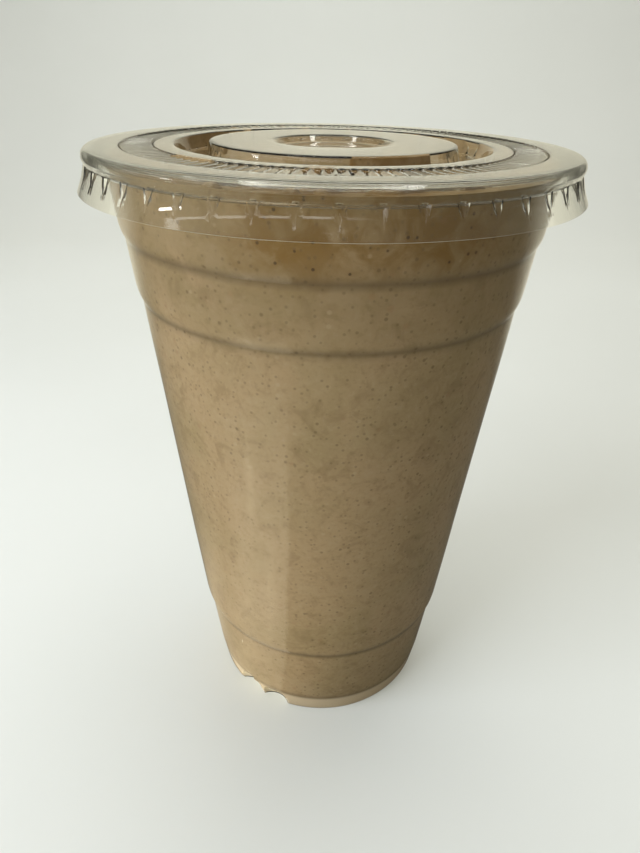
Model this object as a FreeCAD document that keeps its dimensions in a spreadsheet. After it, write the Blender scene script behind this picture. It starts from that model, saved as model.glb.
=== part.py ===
import FreeCAD, Part
import math
import os
import Sketcher

# A clear thermoformed plastic cup with a rolled rim, filled to the brim with a blended drink and shut
# with a clear press-on flat lid. Millimetres, +Z up, origin on the table at the centre of the foot.

doc = FreeCAD.newDocument("SmoothieCup")


# ---- Driving sizes -------------------------------------------------------------------------------

SIZES = [
    # cup, overall
    ("cup_tall", 143.2, "table to the top of the rolled rim"),
    ("rim_wide", 98.0, "outer diameter of the rolled rim"),
    ("curl_round", 1.75, "outer radius of the rolled rim's section"),
    ("wall", 0.4, "thickness of the cup's sheet"),
    # foot
    ("foot_wide", 58.8, "outer diameter of the flat ring the cup stands on"),
    ("foot_ledge", 2.4, "width of that ring"),
    ("foot_corner_tall", 1.0, "height of the slanted corner at the table"),
    ("foot_corner_out", 0.6, "how far that corner slants out"),
    ("panel_rise", 3.6, "how far the bottom panel is pushed up"),
    ("panel_slope", 1.4, "how far the panel's rim leans in as it rises"),
    # pressed rings: creases in the wall, each with a rounded shoulder above it
    ("foot_ring_high", 6.3, "lowest crease, above the table"),
    ("foot_ring_out", 1.45, "its radius beyond the foot"),
    ("foot_shoulder_tall", 2.2, "shoulder above the lowest crease"),
    ("foot_shoulder_step", 0.35, "how far that shoulder stands out"),
    ("stack_ring_high", 26.2, "stacking crease, above the table"),
    ("stack_ring_out", 3.8, "its radius beyond the foot"),
    ("grip_ring_down", 29.0, "crease below the rim, at the top of the long wall"),
    ("grip_ring_in", 3.9, "its radius within the mouth's outer wall"),
    ("neck_ring_down", 16.0, "uppermost crease, below the rim"),
    ("neck_ring_in", 1.9, "its radius within the mouth's outer wall"),
    ("shoulder_tall", 3.3, "height of the shoulder above each upper crease"),
    ("shoulder_step", 1.0, "how far that shoulder stands out"),
    # dents where the foot was knocked
    ("dent_round", 5.0, "radius of the first knock"),
    ("dent_reach", 2.7, "its centre beyond the foot's radius"),
    ("dent_drop", 2.1, "its centre below the table"),
    ("dent_turn", 24.0, "its bearing from the front, towards the left"),
    ("fold_round", 5.4, "radius of the second knock, beside it"),
    ("fold_reach", 2.6, "its centre beyond the foot's radius"),
    ("fold_drop", 2.0, "its centre below the table"),
    ("fold_turn", 39.6, "its bearing from the front, towards the left"),
    # lid
    ("sheet", 0.35, "thickness of the lid's sheet"),
    ("lid_seat", 0.1, "lid above the rim"),
    ("lid_fit", 0.7, "room between the rim and the lid's bead"),
    ("lid_turn", -2.3, "how far the lid is turned on the cup, in degrees"),
    ("bead_round", 1.5, "radius of the lid's bead at the top"),
    ("bead_tall", 1.9, "height of the lid's bead"),
    ("nip_in", 0.4, "how far the lid nips in under the bead"),
    ("nip_tall", 0.7, "height of that nip"),
    ("skirt_tall", 5.2, "skirt below the nip"),
    ("skirt_flare", 1.9, "how far the skirt flares out"),
    ("flat_band", 6.1, "smooth flat ring, in from the rim's radius"),
    ("rib_band", 6.5, "ribbed ring inside it"),
    ("inner_band", 4.0, "smooth ring inside the ribs"),
    ("moat_band", 6.2, "sunk ring round the middle"),
    ("moat_deep", 2.8, "moat floor below the flat ring"),
    ("wall_lean", 0.8, "how far the moat's walls lean"),
    ("plateau_rise", 0.45, "middle above the flat ring"),
    ("recess_wide", 25.0, "diameter of the dished middle"),
    ("recess_deep", 1.3, "depth of that dish"),
    ("recess_lean", 1.2, "how far the dish's wall leans"),
    ("rib_drop", 0.4, "ribbed ring below the flat ring"),
    ("rib_tall", 0.4, "height of one rib"),
    ("rib_wide", 1.2, "width of one rib at its foot"),
    ("rib_count", 120, "ribs round the lid"),
    ("button_wide", 3.4, "width of a press button in the moat"),
    ("button_tall", 2.0, "height of a button over the moat floor"),
    ("button_lean", 0.5, "how far a button's sides lean"),
    ("button_turn", 44.0, "arc a button takes up, in degrees"),
    # lugs pressed into the skirt
    ("lug_count", 50, "lugs round the skirt"),
    ("lug_wide", 2.3, "width of a lug at its top"),
    ("lug_tip", 0.3, "width of a lug at its lower end"),
    ("lug_tall", 3.4, "height of a lug"),
    ("lug_tip_deep", 0.2, "how deep a lug still is there"),
    ("lug_drop", 0.7, "top of a lug below the nip"),
    ("lug_hook", 0.25, "how far a lug reaches in under the rim"),
    # drink
    ("drink_gap", 0.3, "drink below the lid's moat"),
]

sheet = doc.addObject("Spreadsheet::Sheet", "Sizes")
for row, (alias, number, note) in enumerate(SIZES, 1):
    sheet.set(f"A{row}", note)
    sheet.set(f"B{row}", str(number))
    sheet.setAlias(f"B{row}", alias)
doc.recompute()


class Tied:
    """A length that carries its number and the formula on the sheet that keeps it true."""

    def __init__(self, number, text):
        self.number = number
        self.text = text

    def __add__(self, other):
        other = tied(other)
        return Tied(self.number + other.number, f"({self.text} + {other.text})")

    def __sub__(self, other):
        other = tied(other)
        return Tied(self.number - other.number, f"({self.text} - {other.text})")

    def __mul__(self, other):
        other = tied(other)
        return Tied(self.number * other.number, f"({self.text} * {other.text})")

    def __truediv__(self, other):
        other = tied(other)
        return Tied(self.number / other.number, f"({self.text} / {other.text})")


def tied(value):
    """A Tied as it is, an alias of the sheet as a Tied, or a plain number as a constant Tied."""
    if isinstance(value, Tied):
        return value
    if isinstance(value, str):
        return Tied(float(sheet.get(value)), f"Sizes.{value}")
    return Tied(float(value), f"({float(value)})")


def bind(thing, prop, value):
    """Tie a property of a document object to a formula on the sheet."""
    thing.setExpression(prop, tied(value).text)


# ---- Sketching helpers ---------------------------------------------------------------------------

def new_body(label):
    body = doc.addObject("PartDesign::Body", label)
    body.Label = label
    return body


def new_sketch(body, name, role, lift=0):
    """An empty sketch on one of the body's own origin planes, such as XZ_Plane, lifted along its normal."""
    sketch = body.newObject("Sketcher::SketchObject", name)
    plane = next(part for part in body.Origin.OriginFeatures if part.Role == role)
    sketch.AttachmentSupport = [(plane, "")]
    sketch.MapMode = "FlatFace"
    bind(sketch, "AttachmentOffset.Base.z", lift)
    return sketch


def straight(*corners):
    """Corners of an outline whose edges are all straight."""
    return [(across, up, None) for across, up in corners]


def flat_point(corner):
    return FreeCAD.Vector(tied(corner[0]).number, tied(corner[1]).number, 0)


def arc_into(start, end, after):
    """Centre and radius of the arc from start that runs tangent into the edge from end to after."""
    along = (after - end).normalize()
    normal = FreeCAD.Vector(-along.y, along.x, 0)
    back = start - end
    radius = back.dot(back) / (2 * back.dot(normal))
    return end + normal * radius, abs(radius)


def arc_of(start, end, radius, turn):
    """Centre of the arc from start to end, run anticlockwise for turn +1 and clockwise for -1."""
    chord = end - start
    half = chord.Length / 2
    rise = math.sqrt(max(radius * radius - half * half, 0))
    normal = FreeCAD.Vector(-chord.y, chord.x, 0).normalize()
    return (start + end) / 2 + normal * (turn * rise)


def add_arc(sketch, centre, radius, start, end, turn):
    """Add the arc from start to end and say which of its ends is which."""
    circle = Part.Circle(centre, FreeCAD.Vector(0, 0, 1), radius)
    first, last = (start, end) if turn > 0 else (end, start)
    from_angle = math.atan2(first.y - centre.y, first.x - centre.x)
    to_angle = math.atan2(last.y - centre.y, last.x - centre.x)
    if to_angle <= from_angle:
        to_angle += 2 * math.pi
    edge = sketch.addGeometry(Part.ArcOfCircle(circle, from_angle, to_angle), False)
    return edge, (1, 2) if turn > 0 else (2, 1)


def hold(sketch, edge, end, corner):
    """Fix one end of an edge at (across, up), each tied to the sheet."""
    for kind, axis, value in (("DistanceX", -2, corner[0]), ("DistanceY", -1, corner[1])):
        value = tied(value)
        if abs(value.number) < 1e-9:
            sketch.addConstraint(Sketcher.Constraint("PointOnObject", edge, end, axis))
        elif value.number > 0:
            index = sketch.addConstraint(Sketcher.Constraint(kind, -1, 1, edge, end, value.number))
            bind(sketch, f"Constraints[{index}]", value)
        else:
            index = sketch.addConstraint(Sketcher.Constraint(kind, edge, end, -1, 1, -value.number))
            bind(sketch, f"Constraints[{index}]", value * -1)


def outline(sketch, corners):
    """Close an outline through corners (across, up, edge), in order.

    The third entry says how the edge that leaves the corner runs: None for straight, "into" for an arc
    tangent to the straight edge after it, or (radius, turn) for an arc of less than half a circle, run
    anticlockwise for turn +1 and clockwise for -1.
    """
    points = [flat_point(corner) for corner in corners]
    count = len(corners)
    edges = []
    for at, corner in enumerate(corners):
        start, end, after = points[at], points[(at + 1) % count], points[(at + 2) % count]
        if corner[2] is None:
            edge = sketch.addGeometry(Part.LineSegment(start, end), False)
            edges.append((edge, (1, 2)))
        elif corner[2] == "into":
            centre, radius = arc_into(start, end, after)
            side = (start - centre).cross(end - centre).z
            edges.append(add_arc(sketch, centre, radius, start, end, 1 if side > 0 else -1))
        else:
            radius, turn = tied(corner[2][0]).number, corner[2][1]
            centre = arc_of(start, end, radius, turn)
            edges.append(add_arc(sketch, centre, radius, start, end, turn))
    for at, corner in enumerate(corners):
        edge, ends = edges[at]
        after, after_ends = edges[(at + 1) % count]
        joint = "Tangent" if corner[2] == "into" else "Coincident"
        sketch.addConstraint(Sketcher.Constraint(joint, edge, ends[1], after, after_ends[0]))
        hold(sketch, edge, ends[0], corner)
        if corner[2] not in (None, "into"):
            radius = tied(corner[2][0])
            index = sketch.addConstraint(Sketcher.Constraint("Radius", edge, radius.number))
            bind(sketch, f"Constraints[{index}]", radius)


def turned(body, name, corners, kind="PartDesign::Revolution"):
    """Turn an outline on the XZ plane once round the cup's axis."""
    sketch = new_sketch(body, f"{name}_outline", "XZ_Plane")
    outline(sketch, corners)
    feature = body.newObject(kind, name)
    feature.Profile = sketch
    feature.ReferenceAxis = (sketch, ["V_Axis"])
    feature.Angle = 360
    return feature


def patterned(body, name, originals, count):
    """Repeat features evenly round the cup's axis."""
    pattern = body.newObject("PartDesign::PolarPattern", name)
    pattern.Originals = originals
    axis = next(part for part in body.Origin.OriginFeatures if part.Role == "Z_Axis")
    pattern.Axis = (axis, [""])
    pattern.Angle = 360
    bind(pattern, "Occurrences", count)
    body.Tip = pattern
    return pattern


# ---- Cup -----------------------------------------------------------------------------------------

foot_radius = tied("foot_wide") / 2
rim_radius = tied("rim_wide") / 2
curl_centre_high = tied("cup_tall") - "curl_round"
curl_centre_out = rim_radius - "curl_round"
mouth_inside = curl_centre_out - "curl_round"
mouth_outside = mouth_inside + "wall"


def wall_outline(inset):
    """Wall of the cup from the foot's corner up to the mouth, moved inward by inset."""
    rings = [
        (foot_radius + "foot_ring_out", tied("foot_ring_high"), "foot_shoulder_step", "foot_shoulder_tall"),
        (foot_radius + "stack_ring_out", tied("stack_ring_high"), "shoulder_step", "shoulder_tall"),
        (mouth_outside - "grip_ring_in", tied("cup_tall") - "grip_ring_down",
         "shoulder_step", "shoulder_tall"),
        (mouth_outside - "neck_ring_in", tied("cup_tall") - "neck_ring_down",
         "shoulder_step", "shoulder_tall"),
    ]
    corners = []
    for out, high, step, tall in rings:
        corners.append((out - inset, high, "into"))
        corners.append((out - inset + step, high + tall, None))
    return corners


def cavity_outline(top_out, top_high):
    """Inside of the cup from its bottom panel up to a level, on the inner face of the sheet."""
    ledge_inside = foot_radius - "foot_ledge"
    return [
        (0, tied("panel_rise") + "wall", None),
        (ledge_inside - "panel_slope" + "wall", tied("panel_rise") + "wall", None),
        (ledge_inside + "wall", "wall", None),
        (foot_radius - tied("wall") / 2, "wall", None),
        (foot_radius + "foot_corner_out" - "wall", "foot_corner_tall", None),
    ] + wall_outline("wall") + [
        (top_out, top_high, None),
        (0, top_high, None),
    ]


def knock(name, round_name, reach_name, drop_name, turn_name, growth):
    """A ball that presses the foot in, grown by growth for the inner face of the sheet."""
    ball = doc.addObject("Part::Sphere", name)
    bind(ball, "Radius", tied(round_name) + growth)
    out = foot_radius + reach_name
    bearing = f"{tied(turn_name).text} * 1 deg"
    ball.setExpression("Placement.Base.x", f"-{out.text} * sin({bearing})")
    ball.setExpression("Placement.Base.y", f"-{out.text} * cos({bearing})")
    ball.setExpression("Placement.Base.z", f"-{tied(drop_name).text}")
    return ball


def dented(name, form, growth):
    """A form of revolution with both knocks pressed into its foot."""
    balls = [
        knock(f"{name}_dent", "dent_round", "dent_reach", "dent_drop", "dent_turn", growth),
        knock(f"{name}_fold", "fold_round", "fold_reach", "fold_drop", "fold_turn", growth),
    ]
    for ball in balls:
        cut = doc.addObject("Part::Cut", f"{ball.Name}_cut")
        cut.Base = form
        cut.Tool = ball
        form = cut
    return form


def build_cup():
    """Formed sheet of even thickness: the outer form less the cavity, with the rolled rim on top."""
    outer = new_body("cup_outer")
    turned(outer, "outer_form", [
        (0, "panel_rise", None),
        (foot_radius - "foot_ledge" - "panel_slope", "panel_rise", None),
        (foot_radius - "foot_ledge", 0, None),
        (foot_radius, 0, None),
        (foot_radius + "foot_corner_out", "foot_corner_tall", None),
    ] + wall_outline(0) + [
        (mouth_outside, curl_centre_high, None),
        (0, curl_centre_high, None),
    ])
    hollow = new_body("cup_hollow")
    turned(hollow, "hollow_form", cavity_outline(mouth_inside, curl_centre_high))

    shell = doc.addObject("Part::Cut", "cup_shell")
    shell.Base = dented("outer", outer, 0)
    shell.Tool = dented("hollow", hollow, "wall")

    rim = new_body("cup_rim")
    inner_round = tied("curl_round") - "wall"
    turned(rim, "curl", [
        (mouth_inside, curl_centre_high, ("curl_round", -1)),
        (curl_centre_out, "cup_tall", ("curl_round", -1)),
        (rim_radius, curl_centre_high, ("curl_round", -1)),
        (curl_centre_out, curl_centre_high - "curl_round", None),
        (curl_centre_out, curl_centre_high - inner_round, (inner_round, 1)),
        (rim_radius - "wall", curl_centre_high, (inner_round, 1)),
        (curl_centre_out, curl_centre_high + inner_round, (inner_round, 1)),
        (mouth_outside, curl_centre_high, None),
    ])
    cup = doc.addObject("Part::Fuse", "cup")
    cup.Base = shell
    cup.Tool = rim
    cup.Refine = True
    return cup


# ---- Drink ---------------------------------------------------------------------------------------

lid_top = tied("cup_tall") + "lid_seat" + "sheet"
moat_floor = lid_top - "moat_deep"
drink_level = moat_floor - "sheet" - "drink_gap"


def build_drink():
    """The blend fills the cup's cavity up to the lid's moat, dents and all."""
    shoulder_high = tied("cup_tall") - "neck_ring_down" + "shoulder_tall"
    shoulder_out = mouth_inside - "neck_ring_in" + "shoulder_step"
    climbed = (drink_level - shoulder_high) / (curl_centre_high - shoulder_high)
    top_out = shoulder_out + (mouth_inside - shoulder_out) * climbed
    blend = new_body("blend_form")
    turned(blend, "blend_turned", cavity_outline(top_out, drink_level))
    return dented("blend", blend, "wall")


# ---- Lid -----------------------------------------------------------------------------------------

bead_out = rim_radius + "lid_fit" + "sheet"
nip_out = bead_out - "nip_in"
nip_high = lid_top - "bead_tall" - "nip_tall"
flat_in = rim_radius - "flat_band"
rib_in = flat_in - "rib_band"
ring_in = rib_in - "inner_band"
moat_in = ring_in - "moat_band"
recess_radius = tied("recess_wide") / 2
plateau_top = lid_top + "plateau_rise"
rib_floor = lid_top - "rib_drop"


def skirt_out(high):
    """Outer radius of the flared skirt at a height."""
    return nip_out + tied("skirt_flare") * ((nip_high - high) / "skirt_tall")


def lid_outline():
    """Section of the lid's sheet: its upper face from the centre out, then back along the under face."""
    skirt_low = nip_high - "skirt_tall"
    recess_floor = plateau_top - "recess_deep"
    # radius and height of the upper face; then how many sheet thicknesses the under face lies out and down
    bead_start = (bead_out - "bead_round", lid_top, 0, 1)
    bead_end = (bead_out, lid_top - "bead_round", -1, 0)
    faces = [
        (0, recess_floor, 0, 1),
        (recess_radius - "recess_lean", recess_floor, 1, 1),
        (recess_radius, plateau_top, 1, 1),
        (moat_in - "wall_lean", plateau_top, -1, 1),
        (moat_in, moat_floor, -1, 1),
        (ring_in - "wall_lean", moat_floor, 1, 1),
        (ring_in, lid_top, 1, 1),
        (rib_in, lid_top, -1, 1),
        (rib_in, rib_floor, -1, 1),
        (flat_in, rib_floor, 1, 1),
        (flat_in, lid_top, 1, 1),
        bead_start,
        bead_end,
        (bead_out, lid_top - "bead_tall", -1, 0),
        (nip_out, nip_high, -1, 0),
        (skirt_out(skirt_low), skirt_low, -1, 0),
    ]
    upper = [(face[0], face[1], ("bead_round", -1) if face is bead_start else None) for face in faces]
    inner_round = tied("bead_round") - "sheet"
    under = []
    for face in reversed(faces):
        out, high, aside, down = face
        under.append((tied(out) + tied("sheet") * aside, high - tied("sheet") * down,
                      (inner_round, 1) if face is bead_end else None))
    return upper + under


def add_ribs(body):
    """Fine radial ribs, each raised on the upper face and hollow beneath.

    A rib runs a little way into the step at each end of its band, and its hollow stops as far short of it.
    """
    half = tied("rib_wide") / 2
    sunk = tied("sheet") / 4
    ridge = new_sketch(body, "rib_ridge", "YZ_Plane", rib_in - sunk)
    outline(ridge, straight((half * -1, rib_floor - sunk), (half, rib_floor - sunk),
                            (half, rib_floor), (0, rib_floor + "rib_tall"), (half * -1, rib_floor)))
    rib = body.newObject("PartDesign::Pad", "rib")
    rib.Profile = ridge
    bind(rib, "Length", tied("rib_band") + sunk * 2)
    under = rib_floor - "sheet"
    furrow = new_sketch(body, "rib_furrow", "YZ_Plane", rib_in + sunk)
    outline(furrow, straight((half * -1, under - sunk), (half, under - sunk),
                             (half, under), (0, under + "rib_tall"), (half * -1, under)))
    back = body.newObject("PartDesign::Pocket", "rib_back")
    back.Profile = furrow
    back.Reversed = True
    bind(back, "Length", tied("rib_band") - sunk * 2)
    return patterned(body, "ribs", [rib, back], "rib_count")


def lug_section(body, name, high, base_out, point_out, width):
    """One level cut through a lug: a triangle from the skirt in to its point."""
    section = new_sketch(body, name, "XY_Plane", high)
    half = tied(width) / 2
    outline(section, straight((point_out, 0), (base_out, half * -1), (base_out, half)))
    return section


def add_lugs(body):
    """Fang-shaped lugs pressed into the skirt, flat on top where they hook in under the rim."""
    top = nip_high - "lug_drop"
    tip = top - "lug_tall"
    hook = rim_radius - "lug_hook"
    bite = tied("sheet") / 2
    bump = body.newObject("PartDesign::AdditiveLoft", "lug_bump")
    bump.Profile = lug_section(body, "bump_top", top, skirt_out(top) - bite, hook, "lug_wide")
    bump.Sections = [lug_section(body, "bump_tip", tip, skirt_out(tip) - bite,
                                 skirt_out(tip) - "sheet" - "lug_tip_deep", "lug_tip")]
    dent = body.newObject("PartDesign::SubtractiveLoft", "lug_dent")
    dent.Profile = lug_section(body, "dent_top", top - "sheet", skirt_out(top) + bite,
                               hook + "sheet", "lug_wide")
    dent.Sections = [lug_section(body, "dent_tip", tip, skirt_out(tip) + bite,
                                 skirt_out(tip) - "lug_tip_deep", "lug_tip")]
    return patterned(body, "lugs", [bump, dent], "lug_count")


def add_buttons(body):
    """Two curved press buttons standing in the moat, one each side, hollow beneath."""
    middle = (moat_in + ring_in - "wall_lean") / 2
    half = tied("button_wide") / 2
    sunk = tied("sheet") / 2
    low = moat_floor - sunk
    high = moat_floor + "button_tall"
    button = turned(body, "button", straight(
        (middle - half, low), (middle + half, low),
        (middle + half - "button_lean", high), (middle - half + "button_lean", high)))
    button.Midplane = True
    bind(button, "Angle", "button_turn")
    inner = half - "sheet"
    back = turned(body, "button_back", straight(
        (middle - inner, low - "sheet"), (middle + inner, low - "sheet"),
        (middle + inner - "button_lean", high - "sheet"),
        (middle - inner + "button_lean", high - "sheet")), "PartDesign::Groove")
    back.Midplane = True
    bind(back, "Angle", tied("button_turn") - tied("sheet") / middle * math.degrees(2))
    return patterned(body, "buttons", [button, back], 2)


def build_lid():
    """One formed sheet with its ribs, buttons and lugs."""
    lid = new_body("lid")
    turned(lid, "lid_sheet", lid_outline())
    add_ribs(lid)
    add_buttons(lid)
    add_lugs(lid)
    bind(lid, "Placement.Rotation.Angle", "lid_turn")
    return lid


# ---- Build, check and write ----------------------------------------------------------------------

NODES = {"cup": build_cup(), "smoothie": build_drink(), "lid": build_lid()}
doc.recompute()

for thing in doc.Objects:
    if "Invalid" in thing.State or "Error" in thing.State:
        raise RuntimeError(f"{thing.Name} failed: {thing.State}")

os.makedirs("parts", exist_ok=True)
for node, thing in NODES.items():
    thing.Label = node
    shape = thing.Shape
    if shape.isNull() or not shape.isValid() or len(shape.Solids) != 1:
        raise RuntimeError(f"{node} isn't one valid solid")
    shape.exportStep(f"parts/{node}.step")
    print(node, round(shape.Volume), "mm3")
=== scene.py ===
import math

import bpy
import numpy as np
from mathutils import Matrix, Vector


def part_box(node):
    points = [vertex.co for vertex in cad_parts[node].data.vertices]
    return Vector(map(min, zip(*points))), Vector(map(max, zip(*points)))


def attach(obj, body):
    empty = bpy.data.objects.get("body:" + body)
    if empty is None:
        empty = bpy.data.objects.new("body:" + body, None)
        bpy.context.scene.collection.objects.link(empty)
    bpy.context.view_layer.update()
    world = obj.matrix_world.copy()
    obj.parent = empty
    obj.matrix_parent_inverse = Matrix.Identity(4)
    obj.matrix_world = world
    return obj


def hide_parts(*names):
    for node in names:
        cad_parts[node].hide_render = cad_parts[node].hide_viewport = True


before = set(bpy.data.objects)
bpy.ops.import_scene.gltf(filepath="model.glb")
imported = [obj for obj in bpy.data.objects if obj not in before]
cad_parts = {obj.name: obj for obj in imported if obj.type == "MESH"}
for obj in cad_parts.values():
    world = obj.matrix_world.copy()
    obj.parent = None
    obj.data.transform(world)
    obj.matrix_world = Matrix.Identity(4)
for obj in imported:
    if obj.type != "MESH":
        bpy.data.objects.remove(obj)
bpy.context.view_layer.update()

# ---- Cup -----------------------------------------------------------------------------------------
# A tapered takeaway cup of clear PET, drawn hot over a mould from one thin sheet. Its wall has four
# pressed rings, its rim is rolled outward, and its foot is knocked in at the front left.

MM = 0.001
cup_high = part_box("cup")[1]
rim_radius = cup_high.x / MM
cup_tall = cup_high.z / MM
foot_radius = 29.4
wall = 0.4
curl_round = 1.75
curl_high = cup_tall - curl_round
mouth_outside = rim_radius - 2 * curl_round + wall
panel_rise = 3.6
foot_ledge = 2.4
panel_lean = 1.4
corner_out = 0.6
corner_high = 1.0
rings = [
    # radius and height of the crease, how far and how high its shoulder stands above it
    (foot_radius + 1.45, 6.3, 0.35, 2.2),
    (foot_radius + 3.8, 26.2, 1.0, 3.3),
    (mouth_outside - 3.9, cup_tall - 29.0, 1.0, 3.3),
    (mouth_outside - 1.9, cup_tall - 16.0, 1.0, 3.3),
]
knocks = [
    # radius, bearing from the front towards the left, centre beyond the foot, centre above the table
    (5.0, 24.0, 3.0, 0.6),
    (5.4, 39.6, 3.1, 0.6),
]


def arc_into(start, end, after, steps):
    """Points of the arc that leaves start and runs tangent into the straight line end-after.

    Its centre lies square off that line at end, at the distance that makes start lie on the circle.
    """
    along = (after - end) / np.linalg.norm(after - end)
    square = np.array([-along[1], along[0]])
    back = start - end
    radius = back @ back / (2 * back @ square)
    centre = end + square * radius
    first = math.atan2(*(start - centre)[::-1])
    turn = (math.atan2(*(end - centre)[::-1]) - first + math.pi) % (2 * math.pi) - math.pi
    angle = first + turn * np.linspace(0, 1, steps)
    return centre + abs(radius) * np.stack([np.cos(angle), np.sin(angle)], 1)


def eased(points, soft, step=0.04):
    """A line through the points, cut to even steps, its bends eased by a Gaussian of width soft."""
    run = np.concatenate([[0], np.cumsum(np.linalg.norm(np.diff(points, axis=0), axis=1))])
    even = np.linspace(0, run[-1], int(run[-1] / step) + 1)
    line = np.stack([np.interp(even, run, points[:, axis]) for axis in (0, 1)], 1)
    reach = int(4 * soft / step)
    weights = np.exp(-0.5 * (np.arange(-reach, reach + 1) * step / soft) ** 2)
    weights /= weights.sum()
    head = 2 * line[0] - line[reach:0:-1]
    tail = 2 * line[-1] - line[-2:-reach - 2:-1]
    padded = np.concatenate([head, line, tail])
    return np.stack([np.convolve(padded[:, axis], weights, "valid") for axis in (0, 1)], 1)


def offset(line, depth):
    """The line moved square to itself, to its right as it runs, by depth."""
    along = np.gradient(line, axis=0)
    along /= np.linalg.norm(along, axis=1, keepdims=True)
    return line + depth * np.stack([along[:, 1], -along[:, 0]], 1)


def rows_of(line, widest, bend):
    """Places along a line for mesh rows: at most widest apart, and one for each bend radians it turns."""
    along = np.diff(line, axis=0)
    length = np.linalg.norm(along, axis=1)
    heading = np.unwrap(np.arctan2(along[:, 1], along[:, 0]))
    turning = np.abs(np.diff(heading, prepend=heading[0]))
    need = np.concatenate([[0], np.cumsum(length / widest + turning / bend)])
    places = np.linspace(0, need[-1], int(need[-1]) + 2)
    return np.interp(places, need, np.arange(len(line)))


def at_rows(line, places):
    """Points of a line at fractional places along it."""
    return np.stack([np.interp(places, np.arange(len(line)), line[:, axis]) for axis in (0, 1)], 1)


def spun(section, around):
    """Section points (radius, height) turned to every angle: an array rows by angles by x, y, z."""
    radius, high = section[:, :1], section[:, 1:]
    return np.stack(np.broadcast_arrays(radius * np.cos(around), radius * np.sin(around), high), 2)


def closed_mesh(name, grid, crease=40):
    """A closed mesh from a grid whose first and last rows lie on the axis and whose columns run round."""
    rows, columns = grid.shape[:2]
    body = grid[1:-1].reshape(-1, 3)
    points = np.concatenate([body, grid[:1, 0], grid[-1:, 0]]) * MM
    index = np.arange((rows - 2) * columns).reshape(rows - 2, columns)
    after = np.roll(index, -1, axis=1)
    quads = np.stack([index[:-1], after[:-1], after[1:], index[1:]], 2).reshape(-1, 4)
    first = np.stack([np.full(columns, len(body)), after[0], index[0]], 1)
    last = np.stack([index[-1], after[-1], np.full(columns, len(body) + 1)], 1)
    mesh = bpy.data.meshes.new(name)
    mesh.from_pydata(points.tolist(), [], quads.tolist() + first.tolist() + last.tolist())
    mesh.polygons.foreach_set("use_smooth", np.ones(len(mesh.polygons), bool))
    mesh.set_sharp_from_angle(angle=math.radians(crease))
    piece = bpy.data.objects.new(name, mesh)
    bpy.context.collection.objects.link(piece)
    return piece


def wall_points():
    """Outer face of the cup from the centre of its foot panel up the wall and round the rolled rim."""
    ends = [np.array([out, high]) for out, high, _, _ in rings] + [np.array([mouth_outside, curl_high])]
    parts = [np.array([(0, panel_rise), (foot_radius - foot_ledge - panel_lean, panel_rise),
                       (foot_radius - foot_ledge, 0), (foot_radius, 0),
                       (foot_radius + corner_out, corner_high)])]
    for (out, high, step, tall), after in zip(rings, ends[1:]):
        parts.append(arc_into(np.array([out, high]), np.array([out + step, high + tall]), after, 12))
    angle = np.radians(np.linspace(180, -90, 40))
    inner = curl_round - wall
    centre = rim_radius - curl_round
    parts.append(np.stack([centre + inner * np.cos(angle), curl_high + inner * np.sin(angle)], 1))
    return np.concatenate(parts)


def turns(count, busy, crowd):
    """Angles once round, crowded together near the bearing busy: u - crowd * sin(u - busy)."""
    even = np.arange(count) * 2 * math.pi / count
    return even - crowd * np.sin(even - busy)


def knock_gap(grid, bearing, reach):
    """Level offset of every point from a knock's upright axis, and its length."""
    turn = math.radians(bearing)
    out = foot_radius + reach
    away = grid[..., :2] - np.array([-out * math.sin(turn), -out * math.cos(turn)])
    return away, np.linalg.norm(away, axis=2)


def knock_width(grid, radius, high):
    """Radius of the knock's ball at the height of every point: sqrt(radius^2 - (z - high)^2)."""
    return np.sqrt(np.maximum(radius ** 2 - (grid[..., 2] - high) ** 2, 0))


def knocked(grid, growth):
    """Push points that lie within a knock's ball level out to its surface, at their own height."""
    for radius, bearing, reach, high in knocks:
        away, gap = knock_gap(grid, bearing, reach)
        push = np.maximum(knock_width(grid, radius + growth, high) - gap, 0) / gap
        grid = grid + np.concatenate([away * push[..., None], np.zeros_like(grid[..., :1])], 2)
    return grid


def sheet_wave(grid):
    """Slow swells of a thin drawn wall, at most 0.06 mm: three crossing cosines of bearing and height."""
    turn = np.arctan2(grid[..., 1], grid[..., 0])
    high = grid[..., 2]
    swell = (np.cos(3 * turn + high / 17) + np.cos(7 * turn - high / 9 + 1)
             + 0.6 * np.cos(13 * turn + high / 5 + 2))
    inside_wall = np.clip((high - 8) / 12, 0, 1) * np.clip((130 - high) / 12, 0, 1)
    move = 0.023 * swell * inside_wall
    return grid + np.stack([move * np.cos(turn), move * np.sin(turn), 0 * move], 2)


cup_columns = 320
between_knocks = 32
cup_turns = turns(cup_columns, math.radians(-90 - between_knocks), 0.5)
outer_line = eased(wall_points(), 0.16)
cup_rows = rows_of(outer_line, 2.2, 0.16)
inner_line = offset(outer_line, -wall)
inner_line[0, 0] = 0
outer_grid = sheet_wave(knocked(spun(at_rows(outer_line, cup_rows), cup_turns), 0))
inner_grid = sheet_wave(knocked(spun(at_rows(inner_line, cup_rows), cup_turns), wall))
cup = closed_mesh("cup_shell", np.concatenate([outer_grid, inner_grid[::-1]]))


def lay(tree, kind, sockets=None, **settings):
    """Add a shader node, set its properties, and give its sockets numbers or other nodes' outputs."""
    node = tree.nodes.new("ShaderNode" + kind)
    for name, value in settings.items():
        setattr(node, name, value)
    for name, value in (sockets or {}).items():
        if isinstance(value, bpy.types.NodeSocket):
            tree.links.new(value, node.inputs[name])
        else:
            node.inputs[name].default_value = value
    return node


def blank_material(name):
    """A material with only its output node, and the tree that holds it."""
    material = bpy.data.materials.new(name)
    material.use_nodes = True
    material.node_tree.nodes.clear()
    return material, material.node_tree


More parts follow.
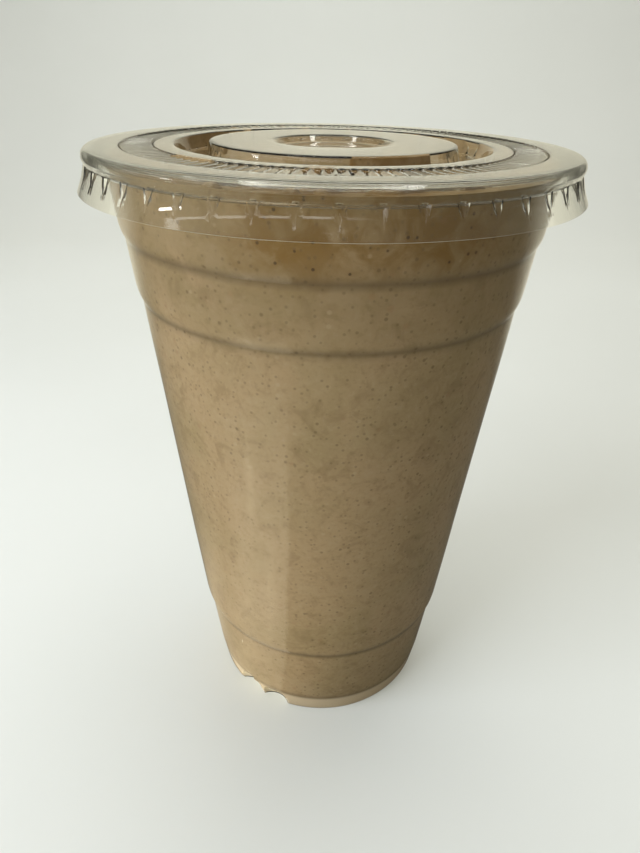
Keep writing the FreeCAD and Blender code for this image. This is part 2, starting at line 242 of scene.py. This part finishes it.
def fade(tree, value, low, high, start=0.0, end=1.0):
    """Ease a value from start to end as it runs from low to high."""
    ramp = lay(tree, "MapRange", {"Value": value, "From Min": low, "From Max": high,
                                  "To Min": start, "To Max": end}, interpolation_type="SMOOTHSTEP")
    return ramp.outputs[0]


def handling_marks():
    """Shared group: faint haze in clouds and fine streaks down the sheet, as roughness and height."""
    group = bpy.data.node_groups.new("handling_marks", "ShaderNodeTree")
    for name, kind, way in (("Vector", "NodeSocketVector", "INPUT"), ("Clear", "NodeSocketFloat", "INPUT"),
                            ("Hazy", "NodeSocketFloat", "INPUT"), ("Roughness", "NodeSocketFloat", "OUTPUT"),
                            ("Height", "NodeSocketFloat", "OUTPUT")):
        group.interface.new_socket(name=name, in_out=way, socket_type=kind)
    given = group.nodes.new("NodeGroupInput")
    result = group.nodes.new("NodeGroupOutput")
    cloud = lay(group, "TexNoise", {"Vector": given.outputs["Vector"], "Scale": 70.0, "Detail": 4.0})
    haze = lay(group, "MapRange", {"Value": cloud.outputs[0], "From Min": 0.5, "From Max": 0.75,
                                   "To Min": given.outputs["Clear"], "To Max": given.outputs["Hazy"]})
    drawn = lay(group, "Mapping", {"Vector": given.outputs["Vector"], "Scale": (900.0, 900.0, 40.0)})
    streak = lay(group, "TexNoise", {"Vector": drawn.outputs[0], "Scale": 1.0, "Detail": 2.0})
    group.links.new(haze.outputs[0], result.inputs["Roughness"])
    group.links.new(streak.outputs[0], result.inputs["Height"])
    return group


marks = handling_marks()


def clear_plastic(name, tint, clear, hazy, ripple):
    """Clear PET: bends and mirrors light, lets lamps through, with faint haze and drawing marks."""
    material, tree = blank_material(name)
    place = lay(tree, "TexCoord")
    worn = lay(tree, "Group", node_tree=marks)
    tree.links.new(place.outputs["Object"], worn.inputs["Vector"])
    worn.inputs["Clear"].default_value = clear
    worn.inputs["Hazy"].default_value = hazy
    bump = lay(tree, "Bump", {"Strength": ripple, "Distance": 0.00002, "Height": worn.outputs["Height"]})
    plastic = lay(tree, "BsdfPrincipled", {
        "Base Color": (*tint, 1), "Roughness": worn.outputs["Roughness"], "Transmission Weight": 1.0,
        "IOR": 1.56, "Normal": bump.outputs[0]})
    open_way = lay(tree, "BsdfTransparent", {"Color": (*tint, 1)})
    path = lay(tree, "LightPath")
    lit = lay(tree, "Math", {0: path.outputs["Is Shadow Ray"], 1: path.outputs["Is Diffuse Ray"]},
              operation="MAXIMUM").outputs[0]
    mix = lay(tree, "MixShader", {0: lit, 1: plastic.outputs[0], 2: open_way.outputs[0]})
    lay(tree, "OutputMaterial", {"Surface": mix.outputs[0]})
    return material


cup.data.materials.append(clear_plastic("cup_plastic", (0.97, 0.975, 0.96), 0.02, 0.07, 0.4))
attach(cup, "root")
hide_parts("cup")

# ---- Lid -----------------------------------------------------------------------------------------
# A flat press-on lid of the same clear sheet. From the middle out: a dished middle on a raised plateau,
# a moat with two press buttons, a smooth ring, fine radial ribs, a flat ring, and the bead that grips
# the rolled rim, with lugs pressed into its flared skirt.

sheet = 0.35
lid_low, lid_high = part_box("lid")
lid_seat = 0.1
lid_fit = 0.7
lid_top = cup_tall + lid_seat + sheet
bead_out = rim_radius + lid_fit + sheet
bead_round = 1.5
bead_tall = 1.9
nip_out = bead_out - 0.4
nip_high = lid_top - 2.6
skirt_low = lid_low.z / MM
flat_in = rim_radius - 6.1
rib_in = flat_in - 6.5
ring_in = rib_in - 4.0
moat_in = ring_in - 6.2
plateau_top = lid_high.z / MM
dish_deep = 1.3
dish_floor = 11.3
dish_rim = 12.5
moat_floor = lid_top - 2.8
rib_count = 120
rib_deep = 0.4
rib_floor = lid_top - rib_deep
button_tall = 2.0
lid_turn = math.radians(-2.3)
lug_count = 50
lug_top = nip_high - 0.4
lug_tall = 2.5
lug_deep = 0.95
# half widths of a lug at its top and tip, as shares of the distance from lug to lug
lug_half = 1 / 6
lug_tip = 0.04
columns_per_lug = 12


def lid_points():
    """Upper face of the lid from its centre out to the skirt's edge."""
    angle = np.radians(np.linspace(90, 0, 16))
    bead = np.stack([bead_out - bead_round + bead_round * np.cos(angle),
                     lid_top - bead_round + bead_round * np.sin(angle)], 1)
    return np.concatenate([
        [(0, plateau_top - dish_deep), (dish_floor, plateau_top - dish_deep), (dish_rim, plateau_top),
         (moat_in - 0.8, plateau_top), (moat_in, moat_floor), (ring_in - 0.8, moat_floor),
         (ring_in, lid_top), (rib_in, lid_top), (rib_in + 0.1, rib_floor), (flat_in - 0.1, rib_floor),
         (flat_in, lid_top)],
        bead,
        [(bead_out, lid_top - bead_tall), (nip_out, nip_high), (nip_out + 0.86, nip_high - 2.9),
         (bead_out + 1.5, skirt_low)],
    ])


def window(value, low, high, edge):
    """1 between low and high, easing to 0 over edge on both sides."""
    rise = np.clip((value - low) / edge + 0.5, 0, 1)
    fall = np.clip((high - value) / edge + 0.5, 0, 1)
    rise, fall = rise * rise * (3 - 2 * rise), fall * fall * (3 - 2 * fall)
    return rise * fall


def formed(grid):
    """Press ribs, buttons and lugs into the sheet, the same on both faces."""
    across = np.hypot(grid[..., 0], grid[..., 1])
    turn = np.arctan2(grid[..., 1], grid[..., 0]) - lid_turn
    high = grid[..., 2]
    upper = high > nip_high + 1
    rib_phase = np.abs((turn * rib_count / (2 * math.pi)) % 1 - 0.5) * 2
    rib_half = 1.2 / (across * 2 * math.pi / rib_count + 1e-6)
    rib = np.clip(1 - (1 - rib_phase) / rib_half, 0, 1) * window(across, rib_in, flat_in, 0.4)
    middle = (moat_in + ring_in - 0.8) / 2
    sideways = np.abs(np.sin(turn)) * across
    button = window(across, middle - 1.55, middle + 1.55, 0.7) * window(sideways, -1, 10.6, 1.4)
    lift = np.where(upper, rib_deep * rib + button_tall * button, 0)
    lug_phase = np.abs((turn * lug_count / (2 * math.pi) + 0.5) % 1 - 0.5)
    lug_phase = lug_phase * 2 * math.pi / lug_count * across
    down = np.clip((lug_top - high) / lug_tall, 0, 1)
    half = (lug_half + (lug_tip - lug_half) * down) * 2 * math.pi / lug_count * across
    deep = lug_deep * (1 - down) * np.clip((lug_top - high) / 0.35 + 1, 0, 1)
    lug = np.clip(1 - lug_phase / half, 0, 1) * deep
    lug = np.where(high < nip_high, lug, 0)
    shrink = 1 - lug / np.maximum(across, 1)
    return np.stack([grid[..., 0] * shrink, grid[..., 1] * shrink, high + lift], 2)


lid_line = eased(lid_points(), 0.2)
lid_rows = rows_of(lid_line, 1.45, 0.36)
under_line = offset(lid_line, sheet)
under_line[0, 0] = 0
lid_rim = np.argmax(under_line[:, 0] > flat_in + 4)


def lid_columns(high):
    """Angles of the columns for every row: down the skirt, those within a lug close in with its edges.

    A column's distance from its lug is stretched in two straight pieces that meet at the lug's edge.
    """
    place = np.arange(lug_count * columns_per_lug) / columns_per_lug
    aside = (place + 0.5) % 1 - 0.5
    down = np.clip((lug_top - high[:, None]) / lug_tall, 0, 1)
    edge = lug_half + (lug_tip - lug_half) * down
    near = np.abs(aside) / lug_half * edge
    far = edge + (np.abs(aside) - lug_half) / (0.5 - lug_half) * (0.5 - edge)
    moved = np.sign(aside) * np.where(np.abs(aside) <= lug_half, near, far)
    return (place - aside + moved) * 2 * math.pi / lug_count + lid_turn


lid_turns = lid_columns(at_rows(lid_line, lid_rows)[:, 1])
upper_face = formed(spun(at_rows(lid_line, lid_rows), lid_turns))
under_face = formed(spun(at_rows(under_line, lid_rows), lid_turns))
lid = closed_mesh("lid_shell", np.concatenate([under_face, upper_face[::-1]]), crease=25)
lid.data.materials.append(clear_plastic("lid_plastic", (0.97, 0.975, 0.96), 0.015, 0.06, 0.4))


def cut_edge():
    """The trimmed edge of the sheet: whitish and a little rough, with fine notches from trimming."""
    material, tree = blank_material("lid_cut_edge")
    place = lay(tree, "TexCoord").outputs["Object"]
    notch = lay(tree, "TexNoise", {"Vector": place, "Scale": 1500.0, "Detail": 2.0}).outputs[0]
    colour = lay(tree, "Mix", {0: fade(tree, notch, 0.35, 0.65), 6: (0.66, 0.66, 0.60, 1),
                               7: (0.85, 0.85, 0.79, 1)}, data_type="RGBA").outputs[2]
    edge = lay(tree, "BsdfPrincipled", {"Base Color": colour, "Roughness": 0.35, "Transmission Weight": 0.35,
                                        "IOR": 1.56})
    lay(tree, "OutputMaterial", {"Surface": edge.outputs[0]})
    return material


lid.data.materials.append(cut_edge())
columns = lid_turns.shape[1]
band = np.arange((len(lid_rows) - 1) * columns, len(lid_rows) * columns)
slots = np.zeros(len(lid.data.polygons), np.int32)
slots[band - columns] = 1
lid.data.polygons.foreach_set("material_index", slots)
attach(lid, "root")
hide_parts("lid")

# ---- Smoothie ------------------------------------------------------------------------------------
# A thick blend of milk, banana and peanut butter, light brown with fine specks. It fills the cup to
# just under the lid and wets the lid's under face in places; its skin reaches halfway into the sheet.

drink_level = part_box("smoothie")[1].z / MM
meniscus = 0.9
wet = 0.1


def drink_section():
    """Outline of the drink: foot panel, wall at half the sheet's depth, then in along the level."""
    skin = offset(outer_line, -wall * 0.5)
    skin[0, 0] = 0
    top = np.argmax(skin[:, 1] > drink_level + meniscus)
    side = skin[:top]
    rows = rows_of(side, 1.1, 0.15)
    inward = np.linspace(1, 0, 110)[1:]
    level = np.stack([side[-1, 0] * inward, np.full(len(inward), drink_level)], 1)
    return np.concatenate([at_rows(side, rows), level]), len(rows)


def lumps(across, along, size, seed):
    """Soft random relief between about -1 and 1: nine crossing cosine waves near one wavelength."""
    draw = np.random.RandomState(seed)
    total = 0
    for turn, phase, stretch in draw.uniform((0, 0, 0.6), (math.pi, 2 * math.pi, 1.7), (9, 3)):
        pace = 2 * math.pi / (size * stretch)
        total = total + np.cos(pace * (across * math.cos(turn) + along * math.sin(turn)) + phase)
    return total / 3.5


def eased_step(value, low, high):
    """0 below low, 1 above high, and a smooth step between."""
    part = np.clip((value - low) / (high - low), 0, 1)
    return part * part * (3 - 2 * part)


def wetted(grid):
    """Raise the level into ripples, and up to the lid's under face where the drink clings to it."""
    x, y = grid[..., 0], grid[..., 1]
    out = np.hypot(x, y)
    turn = np.degrees(np.arctan2(y, x))
    ceiling = np.interp(out, under_line[:, 0][:lid_rim], under_line[:, 1][:lid_rim]) + wet
    ripple = drink_level - 0.15 + 0.12 * lumps(x, y, 7, 3)
    moat = eased_step(lumps(x, y, 13, 11), -0.15, 0.15) * (out < ring_in + 0.5) * (out > moat_in - 0.6)
    ribbed = eased_step(lumps(x, y, 9, 5) - (out - ring_in) / 12, -0.1, 0.25)
    ribbed = ribbed * eased_step(out, ring_in, ring_in + 1) * eased_step(x, 26, 2) * eased_step(x, -34, -28)
    splash = eased_step(out, moat_in - 4.5, moat_in - 1.2) * (out < moat_in + 0.2)
    splash = splash * eased_step(np.abs(turn + 64 + 3 * lumps(x, y, 5, 8)), 24, 21)
    dish = eased_step(0.15 * lumps(x, y, 8, 21) + 1.0 - (out / 10.5) ** 4, -0.1, 0.35) * (out < dish_rim)
    cling = np.maximum(np.maximum(moat, ribbed), np.maximum(splash, dish))
    high = ripple + (ceiling - ripple) * np.clip(cling, 0, 1)
    rim = eased_step(out, 43.6, 45.3)
    return np.stack([x, y, high + (drink_level + meniscus - high) * rim], 2)


section, side_rows = drink_section()
drink_grid = sheet_wave(knocked(spun(section, cup_turns), wall * 0.5))
drink_grid[side_rows:] = wetted(drink_grid[side_rows:])
smoothie = closed_mesh("smoothie_blend", drink_grid)


def painted_crease_shade():
    """For every row of the drink, 1 at a crease in the wall, falling away as a Gaussian 1 mm wide: where the
    drink is painted darker, painted shade in the creases.
    """
    shade = np.zeros(len(section))
    for out, high, _, tall in rings:
        near = np.abs(section[:, 1] - high) + np.maximum(0, section[:, 0] - out - 3) * 9
        width = np.where(section[:, 1] > high, 0.30, 0.2) * tall
        shade = np.maximum(shade, np.exp(-(near / width) ** 2))
    return shade


def painted_knock_light():
    """For every point of the drink, 1 on the round faces of the knocks, where the drink is painted pale:
    painted light on the knocks' faces.
    """
    shade = np.zeros(drink_grid.shape[:2])
    for radius, bearing, reach, high in knocks:
        gap = knock_gap(drink_grid, bearing, reach)[1]
        shade = np.maximum(shade, gap < knock_width(drink_grid, radius + wall * 0.5, high) + 0.12)
    return shade


def point_values(name, values):
    """Store a row-by-angle array of the drink as a named attribute of its points, 0 at the poles."""
    layer = smoothie.data.attributes.new(name, "FLOAT", "POINT")
    layer.data.foreach_set("value", np.concatenate([values[1:-1].ravel(), [0, 0]]).astype(np.float32))


# Painted shade: the drink is darkened along the wall's creases, through the attribute crease.
point_values("crease", np.repeat(painted_crease_shade()[:, None], len(cup_turns), axis=1))
# Painted light: the drink behind the knocks' round faces is painted pale.
point_values("knock_painted_light", painted_knock_light())


def specks(tree, vector, scale, size, share):
    """Mask of small round specks: within size of a Voronoi cell's point, in a share of the cells."""
    cell = lay(tree, "TexVoronoi", {"Vector": vector, "Scale": scale, "Randomness": 1.0})
    spot = fade(tree, cell.outputs["Distance"], size, size * 0.45)
    dice = lay(tree, "SeparateColor", {"Color": cell.outputs["Color"]})
    chosen = lay(tree, "Math", {0: dice.outputs[0], 1: share}, operation="LESS_THAN")
    return lay(tree, "Math", {0: spot, 1: chosen.outputs[0]}, operation="MULTIPLY").outputs[0]


def tinted(tree, under, mask, colour, strength=1.0):
    """Lay a colour over another where the mask is high."""
    share = lay(tree, "Math", {0: mask, 1: strength}, operation="MULTIPLY").outputs[0]
    return lay(tree, "Mix", {0: share, 6: under, 7: (*colour, 1)}, data_type="RGBA").outputs[2]


def smoothie_material():
    """Blended drink: a tan body, soft swirls, ground nut specks and a browner top, darker at the front;
    painted shade in air bubble hollows and creases, painted light on the knocks and below the foot ring.
    """
    material, tree = blank_material("smoothie")
    place = lay(tree, "TexCoord").outputs["Object"]
    axes = lay(tree, "SeparateXYZ", {"Vector": place})
    swirl = lay(tree, "TexNoise", {"Vector": place, "Scale": 45.0, "Detail": 5.0,
                                   "Distortion": 0.6}).outputs[0]
    grain = lay(tree, "TexNoise", {"Vector": place, "Scale": 900.0, "Detail": 3.0}).outputs[0]
    colour = lay(tree, "Mix", {0: fade(tree, swirl, 0.35, 0.65), 6: (0.328, 0.230, 0.118, 1),
                               7: (0.288, 0.209, 0.101, 1)}, data_type="RGBA").outputs[2]
    colour = tinted(tree, colour, fade(tree, grain, 0.5, 0.72), (0.20, 0.135, 0.06), 0.35)
    colour = tinted(tree, colour, fade(tree, grain, 0.45, 0.28), (0.36, 0.27, 0.16), 0.3)
    wisp = lay(tree, "TexNoise", {"Vector": place, "Scale": 190.0, "Detail": 6.0, "Roughness": 0.62,
                                  "Distortion": 0.8}).outputs[0]
    colour = tinted(tree, colour, fade(tree, wisp, 0.50, 0.68), (0.19, 0.125, 0.055), 0.42)
    colour = tinted(tree, colour, fade(tree, wisp, 0.50, 0.34), (0.36, 0.27, 0.15), 0.28)
    high = axes.outputs["Z"]
    # Browner in swirls towards the top.
    browner_top = lay(tree, "Math", {0: fade(tree, high, 0.108, 0.126), 1: fade(tree, swirl, 0.30, 0.50)},
               operation="MULTIPLY").outputs[0]
    colour = tinted(tree, colour, browner_top, (0.17, 0.112, 0.046), 0.35)
    # Darker still in a patch at the front, near the top.
    aside = lay(tree, "Math", {0: axes.outputs["X"], 1: 0.006}, operation="SUBTRACT").outputs[0]
    aside = lay(tree, "Math", {0: aside}, operation="ABSOLUTE").outputs[0]
    ahead = lay(tree, "Math", {0: fade(tree, aside, 0.030, 0.012),
                               1: fade(tree, axes.outputs["Y"], -0.01, -0.03)},
                operation="MULTIPLY").outputs[0]
    reach = lay(tree, "Math", {0: swirl, 1: 0.012, 2: high}, operation="MULTIPLY_ADD").outputs[0]
    thin = lay(tree, "Math", {0: ahead, 1: fade(tree, reach, 0.130, 0.140)}, operation="MULTIPLY").outputs[0]
    thin = lay(tree, "Math", {0: thin, 1: fade(tree, wisp, 0.36, 0.60, 0.45, 1.0)}, operation="MULTIPLY")
    colour = tinted(tree, colour, thin.outputs[0], (0.172, 0.090, 0.016), 0.9)
    for scale, size, share, shade, strength in (
            (520.0, 0.24, 0.22, (0.10, 0.062, 0.026), 0.52),
            (230.0, 0.30, 0.22, (0.21, 0.135, 0.060), 0.34),
            (850.0, 0.33, 0.35, (0.12, 0.078, 0.034), 0.42),
            (300.0, 0.26, 0.16, (0.25, 0.135, 0.062), 0.28),
            (330.0, 0.20, 0.10, (0.38, 0.29, 0.17), 0.4)):
        colour = tinted(tree, colour, specks(tree, place, scale, size, share), shade, strength)
    # Painted shade: dark dots for the shaded hollow of each air bubble against the wall, at the front near
    # the top.
    bubble_shade = lay(tree, "Math", {0: specks(tree, place, 680.0, 0.27, 0.30), 1: ahead}, operation="MULTIPLY")
    bubble_shade = lay(tree, "Math", {0: bubble_shade.outputs[0], 1: fade(tree, high, 0.1262, 0.1282)},
                  operation="MULTIPLY")
    colour = tinted(tree, colour, bubble_shade.outputs[0], (0.040, 0.020, 0.008), 0.8)
    # Painted reflection of the table: the drink below the foot ring is painted paler.
    colour = tinted(tree, colour, fade(tree, high, 0.0066, 0.0055), (0.60, 0.48, 0.31), 0.85)
    # Painted shade: darker drink along the wall's creases.
    crease = lay(tree, "Attribute", attribute_name="crease").outputs["Fac"]
    colour = tinted(tree, colour, crease, (0.10, 0.066, 0.030), 0.62)
    # Painted light: pale drink behind the knocks' round faces, where light would catch them.
    knock_painted_light = lay(tree, "Attribute", attribute_name="knock_painted_light").outputs["Fac"]
    colour = tinted(tree, colour, knock_painted_light, (0.80, 0.70, 0.50), 0.7)
    bump = lay(tree, "Bump", {"Strength": 0.25, "Distance": 0.0001, "Height": grain})
    blend = lay(tree, "BsdfPrincipled", {"Base Color": colour, "Roughness": 0.38, "IOR": 1.36,
                                         "Specular IOR Level": 0.35, "Normal": bump.outputs[0]})
    lay(tree, "OutputMaterial", {"Surface": blend.outputs[0]})
    return material


smoothie.data.materials.append(smoothie_material())
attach(smoothie, "root")
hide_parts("smoothie")

# ---- Table, light and camera ---------------------------------------------------------------------
# A plain pale table that sweeps up into a pale backdrop, a large soft light from the left with a glowing
# card on the table for the cup's tall highlight, and the camera close by, looking down at its front.


def table_material():
    """Plain pale laminate with a barely uneven satin surface. Mirrors and clear plastic see it painted dark,
    except behind the cup: painted dark reflections.
    """
    material, tree = blank_material("pale_table")
    place = lay(tree, "TexCoord").outputs["Object"]
    cloud = lay(tree, "TexNoise", {"Vector": place, "Scale": 6.0, "Detail": 3.0}).outputs[0]
    colour = lay(tree, "Mix", {0: fade(tree, cloud, 0.3, 0.7), 6: (0.53, 0.545, 0.51, 1),
                               7: (0.55, 0.565, 0.53, 1)}, data_type="RGBA").outputs[2]
    path = lay(tree, "LightPath")
    axes = lay(tree, "SeparateXYZ", {"Vector": place})
    aside = lay(tree, "Math", {0: axes.outputs["X"]}, operation="ABSOLUTE").outputs[0]
    # Painted reflections: for mirrored and bent rays the table is painted dark, and it stays pale and glows
    # a little only behind the cup and up the backdrop.
    card = lay(tree, "Math", {0: fade(tree, axes.outputs["Y"], 0.12, 0.35),
                              1: fade(tree, aside, 0.66, 0.52)},
               operation="MULTIPLY").outputs[0]
    mirrored = lay(tree, "Mix", {0: card, 6: (0.12, 0.112, 0.088, 1), 7: (0.74, 0.72, 0.58, 1)},
                   data_type="RGBA").outputs[2]
    bent = lay(tree, "Math", {0: path.outputs["Is Glossy Ray"], 1: path.outputs["Is Transmission Ray"]},
               operation="MAXIMUM").outputs[0]
    colour = lay(tree, "Mix", {0: bent, 6: colour, 7: mirrored}, data_type="RGBA").outputs[2]
    shown = lay(tree, "Math", {0: path.outputs["Is Transmission Ray"], 1: card},
                operation="MULTIPLY").outputs[0]
    shown = lay(tree, "Math", {0: path.outputs["Is Camera Ray"], 1: shown}, operation="MAXIMUM").outputs[0]
    shown = lay(tree, "Math", {0: shown, 1: 0.15}, operation="MULTIPLY").outputs[0]
    surface = lay(tree, "BsdfPrincipled", {
        "Base Color": colour, "Roughness": fade(tree, cloud, 0.3, 0.7, 0.5, 0.6),
        "Emission Color": (0.98, 1.04, 0.92, 1), "Emission Strength": shown})
    lay(tree, "OutputMaterial", {"Surface": surface.outputs[0]})
    return material


def sweep_mesh():
    """A floor that curves up into a wall: straight, a quarter circle, straight, drawn out sideways."""
    angle = np.linspace(0, math.pi / 2, 24)
    radius, back = 0.5, 1.0
    profile = np.concatenate([
        [(-3.0, 0.0)],
        np.stack([back - radius + radius * np.sin(angle), radius - radius * np.cos(angle)], 1),
        [(back, 3.0)]])
    points = [(side, y, z) for side in (-3.0, 3.0) for y, z in profile]
    count = len(profile)
    faces = [(i, i + count, i + count + 1, i + 1) for i in range(count - 1)]
    mesh = bpy.data.meshes.new("sweep")
    mesh.from_pydata(points, [], faces)
    mesh.polygons.foreach_set("use_smooth", np.ones(len(mesh.polygons), bool))
    return mesh


sweep = bpy.data.objects.new("sweep", sweep_mesh())
bpy.context.collection.objects.link(sweep)
sweep.data.materials.append(table_material())


def soft_light(name, place, aim, wide, tall, watts, colour=(1, 1, 1)):
    """A rectangular area lamp at place that faces aim."""
    lamp = bpy.data.lights.new(name, "AREA")
    lamp.shape = "RECTANGLE"
    lamp.size, lamp.size_y = wide, tall
    lamp.energy = watts
    lamp.color = colour
    holder = bpy.data.objects.new(name, lamp)
    bpy.context.collection.objects.link(holder)
    holder.location = place
    holder.rotation_mode = "QUATERNION"
    holder.rotation_quaternion = (Vector(aim) - Vector(place)).to_track_quat("-Z", "Y")
    return holder


middle = (0, 0, 0.08)
key = soft_light("left_window", (-0.58, -0.38, 0.38), middle, 0.5, 0.6, 5.7, (0.93, 1.0, 1.15))
key.visible_glossy = key.visible_transmission = False
above = soft_light("top_panel", (0.05, 0.30, 0.95), (0, 0.1, 0), 0.8, 0.8, 7.5)
above.visible_glossy = above.visible_transmission = False
ceiling_tube = soft_light("ceiling_strip", (-0.28, -0.42, 0.60), (0, 0, 0.14), 0.9, 0.035, 0.7)
ceiling_tube.visible_glossy = ceiling_tube.visible_transmission = False
soft_light("side_tube", (-0.49, -0.16, 0.288), (-0.025, -0.044, 0.138), 0.055, 0.012, 0.05)


def glow_card():
    """A fan just over the table that mirrors and scattered light see, glowing from its upper side only.

    It is a grid of bearing and reach. Its glow, an attribute of the points, rises softly with bearing,
    ends in a crisp edge, and dies away close by and far off; three soft spots lie on top of that.
    """
    spokes, hoops = 107, 60
    bearing = np.radians(np.linspace(-125, -19, spokes))[:, None]
    reach = np.geomspace(0.0303, 0.25, hoops)[None, :]
    over_table = np.full((spokes, hoops), 0.0006)
    points = np.stack([reach * np.sin(bearing), -reach * np.cos(bearing), over_table], 2)
    index = np.arange(spokes * hoops).reshape(spokes, hoops)
    quads = np.stack([index[:-1, :-1], index[:-1, 1:], index[1:, 1:], index[1:, :-1]], 2).reshape(-1, 4)
    mesh = bpy.data.meshes.new("glow_card")
    mesh.from_pydata(points.reshape(-1, 3).tolist(), [], quads.tolist())
    degrees = np.degrees(bearing)
    fan = eased_step(degrees, -76, -48) * eased_step(-degrees, 20.5, 24)
    glow = 0.85 * fan * eased_step(-reach, -0.20, -0.10) * (0.6 + 0.4 * eased_step(reach, 0.040, 0.060))
    glow = glow + 0.6 * np.exp(-((degrees + 48.5) / 3) ** 2) * np.exp(-((reach - 0.122) / 0.022) ** 2)
    glow = glow + 0.4 * np.exp(-((degrees + 34.5) / 4) ** 2) * np.exp(-((reach - 0.068) / 0.018) ** 2)
    glow = glow + 0.4 * np.exp(-((degrees + 88) / 22) ** 2) * eased_step(-reach, -0.11, -0.05)
    mesh.attributes.new("glow", "FLOAT", "POINT").data.foreach_set("value", glow.ravel().astype(np.float32))
    material, tree = blank_material("card_glow")
    strength = lay(tree, "Attribute", attribute_name="glow").outputs["Fac"]
    scattered = lay(tree, "LightPath").outputs["Is Diffuse Ray"]
    boost = lay(tree, "Math", {0: scattered, 1: 1.4, 2: 1.0}, operation="MULTIPLY_ADD").outputs[0]
    under = lay(tree, "NewGeometry").outputs["Backfacing"]
    upward = lay(tree, "Math", {0: 1.0, 1: under}, operation="SUBTRACT").outputs[0]
    strength = lay(tree, "Math", {0: strength, 1: upward}, operation="MULTIPLY").outputs[0]
    strength = lay(tree, "Math", {0: strength, 1: boost}, operation="MULTIPLY").outputs[0]
    shine = lay(tree, "Emission", {"Color": (1.0, 0.88, 0.64, 1), "Strength": strength})
    clear = lay(tree, "BsdfTransparent")
    both = lay(tree, "AddShader", {0: shine.outputs[0], 1: clear.outputs[0]})
    lay(tree, "OutputMaterial", {"Surface": both.outputs[0]})
    mesh.materials.append(material)
    card = bpy.data.objects.new("glow_card", mesh)
    bpy.context.collection.objects.link(card)
    card.visible_camera = card.visible_transmission = card.visible_shadow = False
    return card


glow_card()


def room_light():
    """World: even light on the object, a pale ground for the camera, and a room for other rays.

    Mirrored and bent rays see it pale behind and overhead, darker in front, with level bands of glare:
    three on the left and one, the highest and brightest, all round.
    """
    world = bpy.data.worlds.new("room")
    world.use_nodes = True
    tree = world.node_tree
    tree.nodes.clear()
    around = lay(tree, "TexCoord").outputs["Generated"]
    way = lay(tree, "SeparateXYZ", {"Vector": around})
    behind = fade(tree, way.outputs["Y"], 0.0, 0.45)
    overhead = fade(tree, way.outputs["Z"], 0.5, 0.8, 0.0, 0.4)
    bright = lay(tree, "Math", {0: behind, 1: overhead}, operation="MAXIMUM").outputs[0]
    shelf = lay(tree, "Mapping", {"Vector": around, "Scale": (1.1, 1.1, 9.0)})
    bands = lay(tree, "TexNoise", {"Vector": shelf.outputs[0], "Scale": 1.6, "Detail": 3.0}).outputs[0]
    banded = lay(tree, "Math", {0: bright, 1: fade(tree, bands, 0.40, 0.60, 0.45, 1.15)},
                 operation="MULTIPLY").outputs[0]
    seen = lay(tree, "Mix", {0: banded, 6: (0.17, 0.155, 0.12, 1), 7: (0.60, 0.61, 0.55, 1)},
               data_type="RGBA").outputs[2]
    left = fade(tree, way.outputs["X"], 0.35, -0.15)
    for middle_high, half, glare, all_round in (
            (0.40, 0.014, 1.8, False),
            (0.60, 0.022, 1.8, False),
            (0.79, 0.016, 1.8, False),
            (0.93, 0.014, 6.0, True)):
        gap = lay(tree, "Math", {0: way.outputs["Z"], 1: middle_high}, operation="SUBTRACT").outputs[0]
        gap = lay(tree, "Math", {0: gap}, operation="ABSOLUTE").outputs[0]
        tube = fade(tree, gap, half * 1.3, half * 0.7)
        if not all_round:
            tube = lay(tree, "Math", {0: tube, 1: left}, operation="MULTIPLY").outputs[0]
        seen = lay(tree, "Mix", {0: tube, 6: seen, 7: (glare, glare, glare * 0.95, 1)},
                   data_type="RGBA").outputs[2]
    path = lay(tree, "LightPath")
    mirrored = lay(tree, "Math", {0: path.outputs["Is Glossy Ray"], 1: path.outputs["Is Transmission Ray"]},
                   operation="MAXIMUM").outputs[0]
    colour = lay(tree, "Mix", {0: mirrored, 6: (0.245, 0.208, 0.152, 1), 7: seen},
                 data_type="RGBA").outputs[2]
    colour = lay(tree, "Mix", {0: path.outputs["Is Camera Ray"], 6: colour, 7: (0.70, 0.73, 0.67, 1)},
                 data_type="RGBA").outputs[2]
    light = lay(tree, "Background", {"Color": colour, "Strength": 1.0})
    lay(tree, "OutputWorld", {"Surface": light.outputs[0]})
    return world


bpy.context.scene.world = room_light()
bpy.context.scene.view_settings.view_transform = "Standard"

camera_place = Vector((0, -0.1409, 0.1579))
pitch, yaw, roll = (math.radians(angle) for angle in (30.36, -0.56, 1.37))
level = Vector((math.sin(yaw), math.cos(yaw), 0))
side = Vector((math.cos(yaw), -math.sin(yaw), 0))
ahead = math.cos(pitch) * level - math.sin(pitch) * Vector((0, 0, 1))
top = math.sin(pitch) * level + math.cos(pitch) * Vector((0, 0, 1))
right = math.cos(roll) * side + math.sin(roll) * top
up = math.cos(roll) * top - math.sin(roll) * side
lens = bpy.data.cameras.new("camera")
lens.sensor_width = 36
lens.lens = 26.17
lens.clip_start = 0.01
camera = bpy.data.objects.new("camera", lens)
bpy.context.collection.objects.link(camera)
turn = Matrix((right, up, -ahead)).transposed()
camera.matrix_world = Matrix.Translation(camera_place) @ turn.to_4x4()
bpy.context.scene.camera = camera
